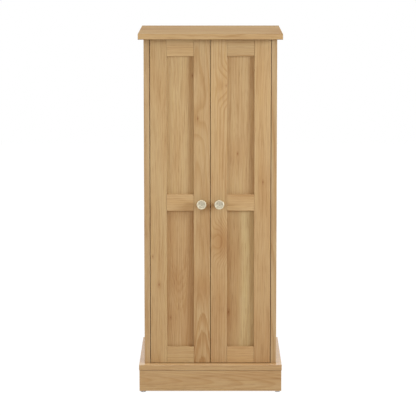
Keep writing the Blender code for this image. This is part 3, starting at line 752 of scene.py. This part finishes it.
def screw(name, place, facing, size, material, painted_highlight_and_neck):
    """A screw with a pan head and a cross recess; its head stands on place, and its shank runs back."""
    head_radius, head_height, shank_radius, shank_length = size
    rings = [ring(TIP_RADIUS * shank_radius, -shank_length),
             ring(shank_radius, TIP_LENGTH * shank_radius - shank_length), ring(shank_radius, 0)]
    rings += [ring(share * head_radius, rise * head_height) for share, rise in HEAD_PROFILE]
    rings += [ring(head_radius, head_height, recess=True),
              ring(RECESS_TAPER * head_radius, head_height - RECESS_DEPTH * head_height, recess=True)]
    return loft(name, rings, place, facing, material, painted_highlight_and_neck)


def add_screws(steel):
    """Screws of the catch and the strike plates, and knob screws with a proper head."""
    shelf_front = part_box("fixed_shelf")[0].y
    catch_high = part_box("catch_housing")[1]
    magnet_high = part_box("catch_magnet")[1]
    for word, side in (("left", -1), ("right", 1)):
        door = word + "_door"
        ear_x = side * (catch_high.x + magnet_high.x + BESIDE_MAGNET) / 2
        place = (ear_x, (shelf_front + catch_high.y) / 2, catch_high.z - EAR_THICKNESS - SEAT_GAP)
        screw(word + "_catch_screw", place, (0, 0, -1), CATCH_SCREW, steel, "carcass")
        plate_low, plate_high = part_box(word + "_strike_plate")
        middle = (plate_low + plate_high) / 2
        place = (middle.x, plate_high.y - STRIKE_SEAT, middle.z)
        screw(word + "_strike_screw", place, (0, 1, 0), STRIKE_SCREW, steel, door)
        low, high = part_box(word + "_knob_screw")
        middle = (low + high) / 2
        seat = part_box(door + "_meeting_stile")[1].y + KNOB_SCREW_SEAT
        head_height = high.y - seat
        size = ((high.x - low.x) / 2, head_height, KNOB_SCREW_SHANK, high.y - low.y - head_height)
        new = screw(word + "_cross_head_screw", (middle.x, seat, middle.z), (0, 1, 0), size, steel, door)
        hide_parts(word + "_knob_screw")


def add_cam_covers(nylon):
    """Caps over the cam fittings that join the sides to the top, the base and the fixed shelf."""
    rings = [ring(share * CAM_COVER_RADIUS, height) for share, height in CAM_COVER_PROFILE]
    shelf_low, shelf_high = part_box("fixed_shelf")
    rows = {"front": shelf_low.y + CAM_FRONT_DISTANCE, "rear": shelf_high.y - CAM_FRONT_DISTANCE}
    heights = {"upper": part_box("top_panel")[0].z - CAM_EDGE_DISTANCE,
               "lower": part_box("base_panel")[1].z + CAM_EDGE_DISTANCE}
    for word, side in (("left", -1), ("right", 1)):
        side_low, side_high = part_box(word + "_side_panel")
        inner = side_high.x if side < 0 else side_low.x
        for row_word, y in rows.items():
            for end_word, z in heights.items():
                loft(f"{end_word}_cam_cover_{word}_{row_word}", rings, (inner - side * SEAT_GAP, y, z),
                     (-side, 0, 0), nylon, "carcass")
            place = (inner - side * CAM_EDGE_DISTANCE, y, shelf_low.z - SEAT_GAP)
            loft(f"shelf_cam_cover_{word}_{row_word}", rings, place, (0, 0, -1), nylon, "carcass")


def make_camera():
    """The photograph's view: a long lens, a little from above, on the centre line but for a slight shift."""
    data = bpy.data.cameras.new("camera")
    data.sensor_width = SENSOR_WIDTH
    data.lens = FOCAL_PIXELS / IMAGE_PIXELS * SENSOR_WIDTH
    data.shift_x = (IMAGE_PIXELS / 2 - CENTRE_LINE_PIXEL) / IMAGE_PIXELS
    camera = bpy.data.objects.new("camera", data)
    bpy.context.scene.collection.objects.link(camera)
    camera.location = (0, cad_box[0][1] - CAMERA_DISTANCE, CAMERA_HEIGHT)
    camera.rotation_euler = (math.pi / 2 - CAMERA_PITCH, 0, 0)
    bpy.context.scene.camera = camera


def make_softbox(name, place, size, watts, colour, spread):
    """A square softbox aimed a little above the cabinet; spread is how wide its light opens, in degrees."""
    data = bpy.data.lights.new(name, "AREA")
    data.size = size
    data.energy = watts
    data.color = linear(colour)[:3]
    data.spread = math.radians(spread)
    lamp = bpy.data.objects.new(name, data)
    bpy.context.scene.collection.objects.link(lamp)
    lamp.location = place
    lamp.rotation_euler = (LAMP_TARGET - Vector(place)).to_track_quat("-Z", "Y").to_euler()


def seen_rays(tree):
    """One for rays that show the background: from the camera, in a reflection or through glass."""
    path = add(tree, "LightPath").node.outputs
    both = add(tree, "Math", {0: path["Is Camera Ray"], 1: path["Is Glossy Ray"]}, operation="MAXIMUM")
    return add(tree, "Math", {0: both, 1: path["Is Transmission Ray"]}, operation="MAXIMUM")


def make_world():
    """White where it is seen, and an even, soft, warm light elsewhere."""
    world = bpy.data.worlds.new("studio")
    bpy.context.scene.world = world
    world.use_nodes = True
    tree = world.node_tree
    seen = seen_rays(tree)
    background = tree.nodes["Background"]
    strength = add(tree, "MapRange", {"Value": seen, "To Min": WORLD_LIGHT, "To Max": 1.0})
    colour = add(tree, "Mix", {0: seen, 6: linear(WORLD_COLOUR), 7: linear(WHITE)}, **BLEND)
    tree.links.new(strength, background.inputs["Strength"])
    tree.links.new(colour, background.inputs["Color"])


def make_floor():
    """A pale floor that is nearly white to the eye and keeps a faint shadow."""
    bm = bmesh.new()
    bmesh.ops.create_grid(bm, x_segments=1, y_segments=1, size=FLOOR_REACH)
    mesh = bpy.data.meshes.new("floor")
    bm.to_mesh(mesh)
    bm.free()
    floor = bpy.data.objects.new("floor", mesh)
    bpy.context.scene.collection.objects.link(floor)
    material, tree, shader = new_material("pale_floor")
    shader.inputs["Base Color"].default_value = linear(FLOOR_COLOUR)
    shader.inputs["Roughness"].default_value = FLOOR_ROUGHNESS
    glow = add(tree, "Emission", {"Color": linear(WHITE), "Strength": FLOOR_GLOW})
    share = add(tree, "Math", {0: seen_rays(tree), 1: FLOOR_WHITENESS}, operation="MULTIPLY")
    surface = add(tree, "MixShader", {0: share, 1: shader.outputs[0], 2: glow})
    tree.links.new(surface, tree.nodes["Material Output"].inputs["Surface"])
    mesh.materials.append(material)


dress_boards()
plated_steel, white_nylon = dress_fittings()
add_screws(plated_steel)
add_cam_covers(white_nylon)
make_camera()
make_world()
make_floor()
for softbox, setting in SOFTBOXES.items():
    make_softbox(softbox, *setting)
bpy.context.scene.view_settings.view_transform = "Standard"
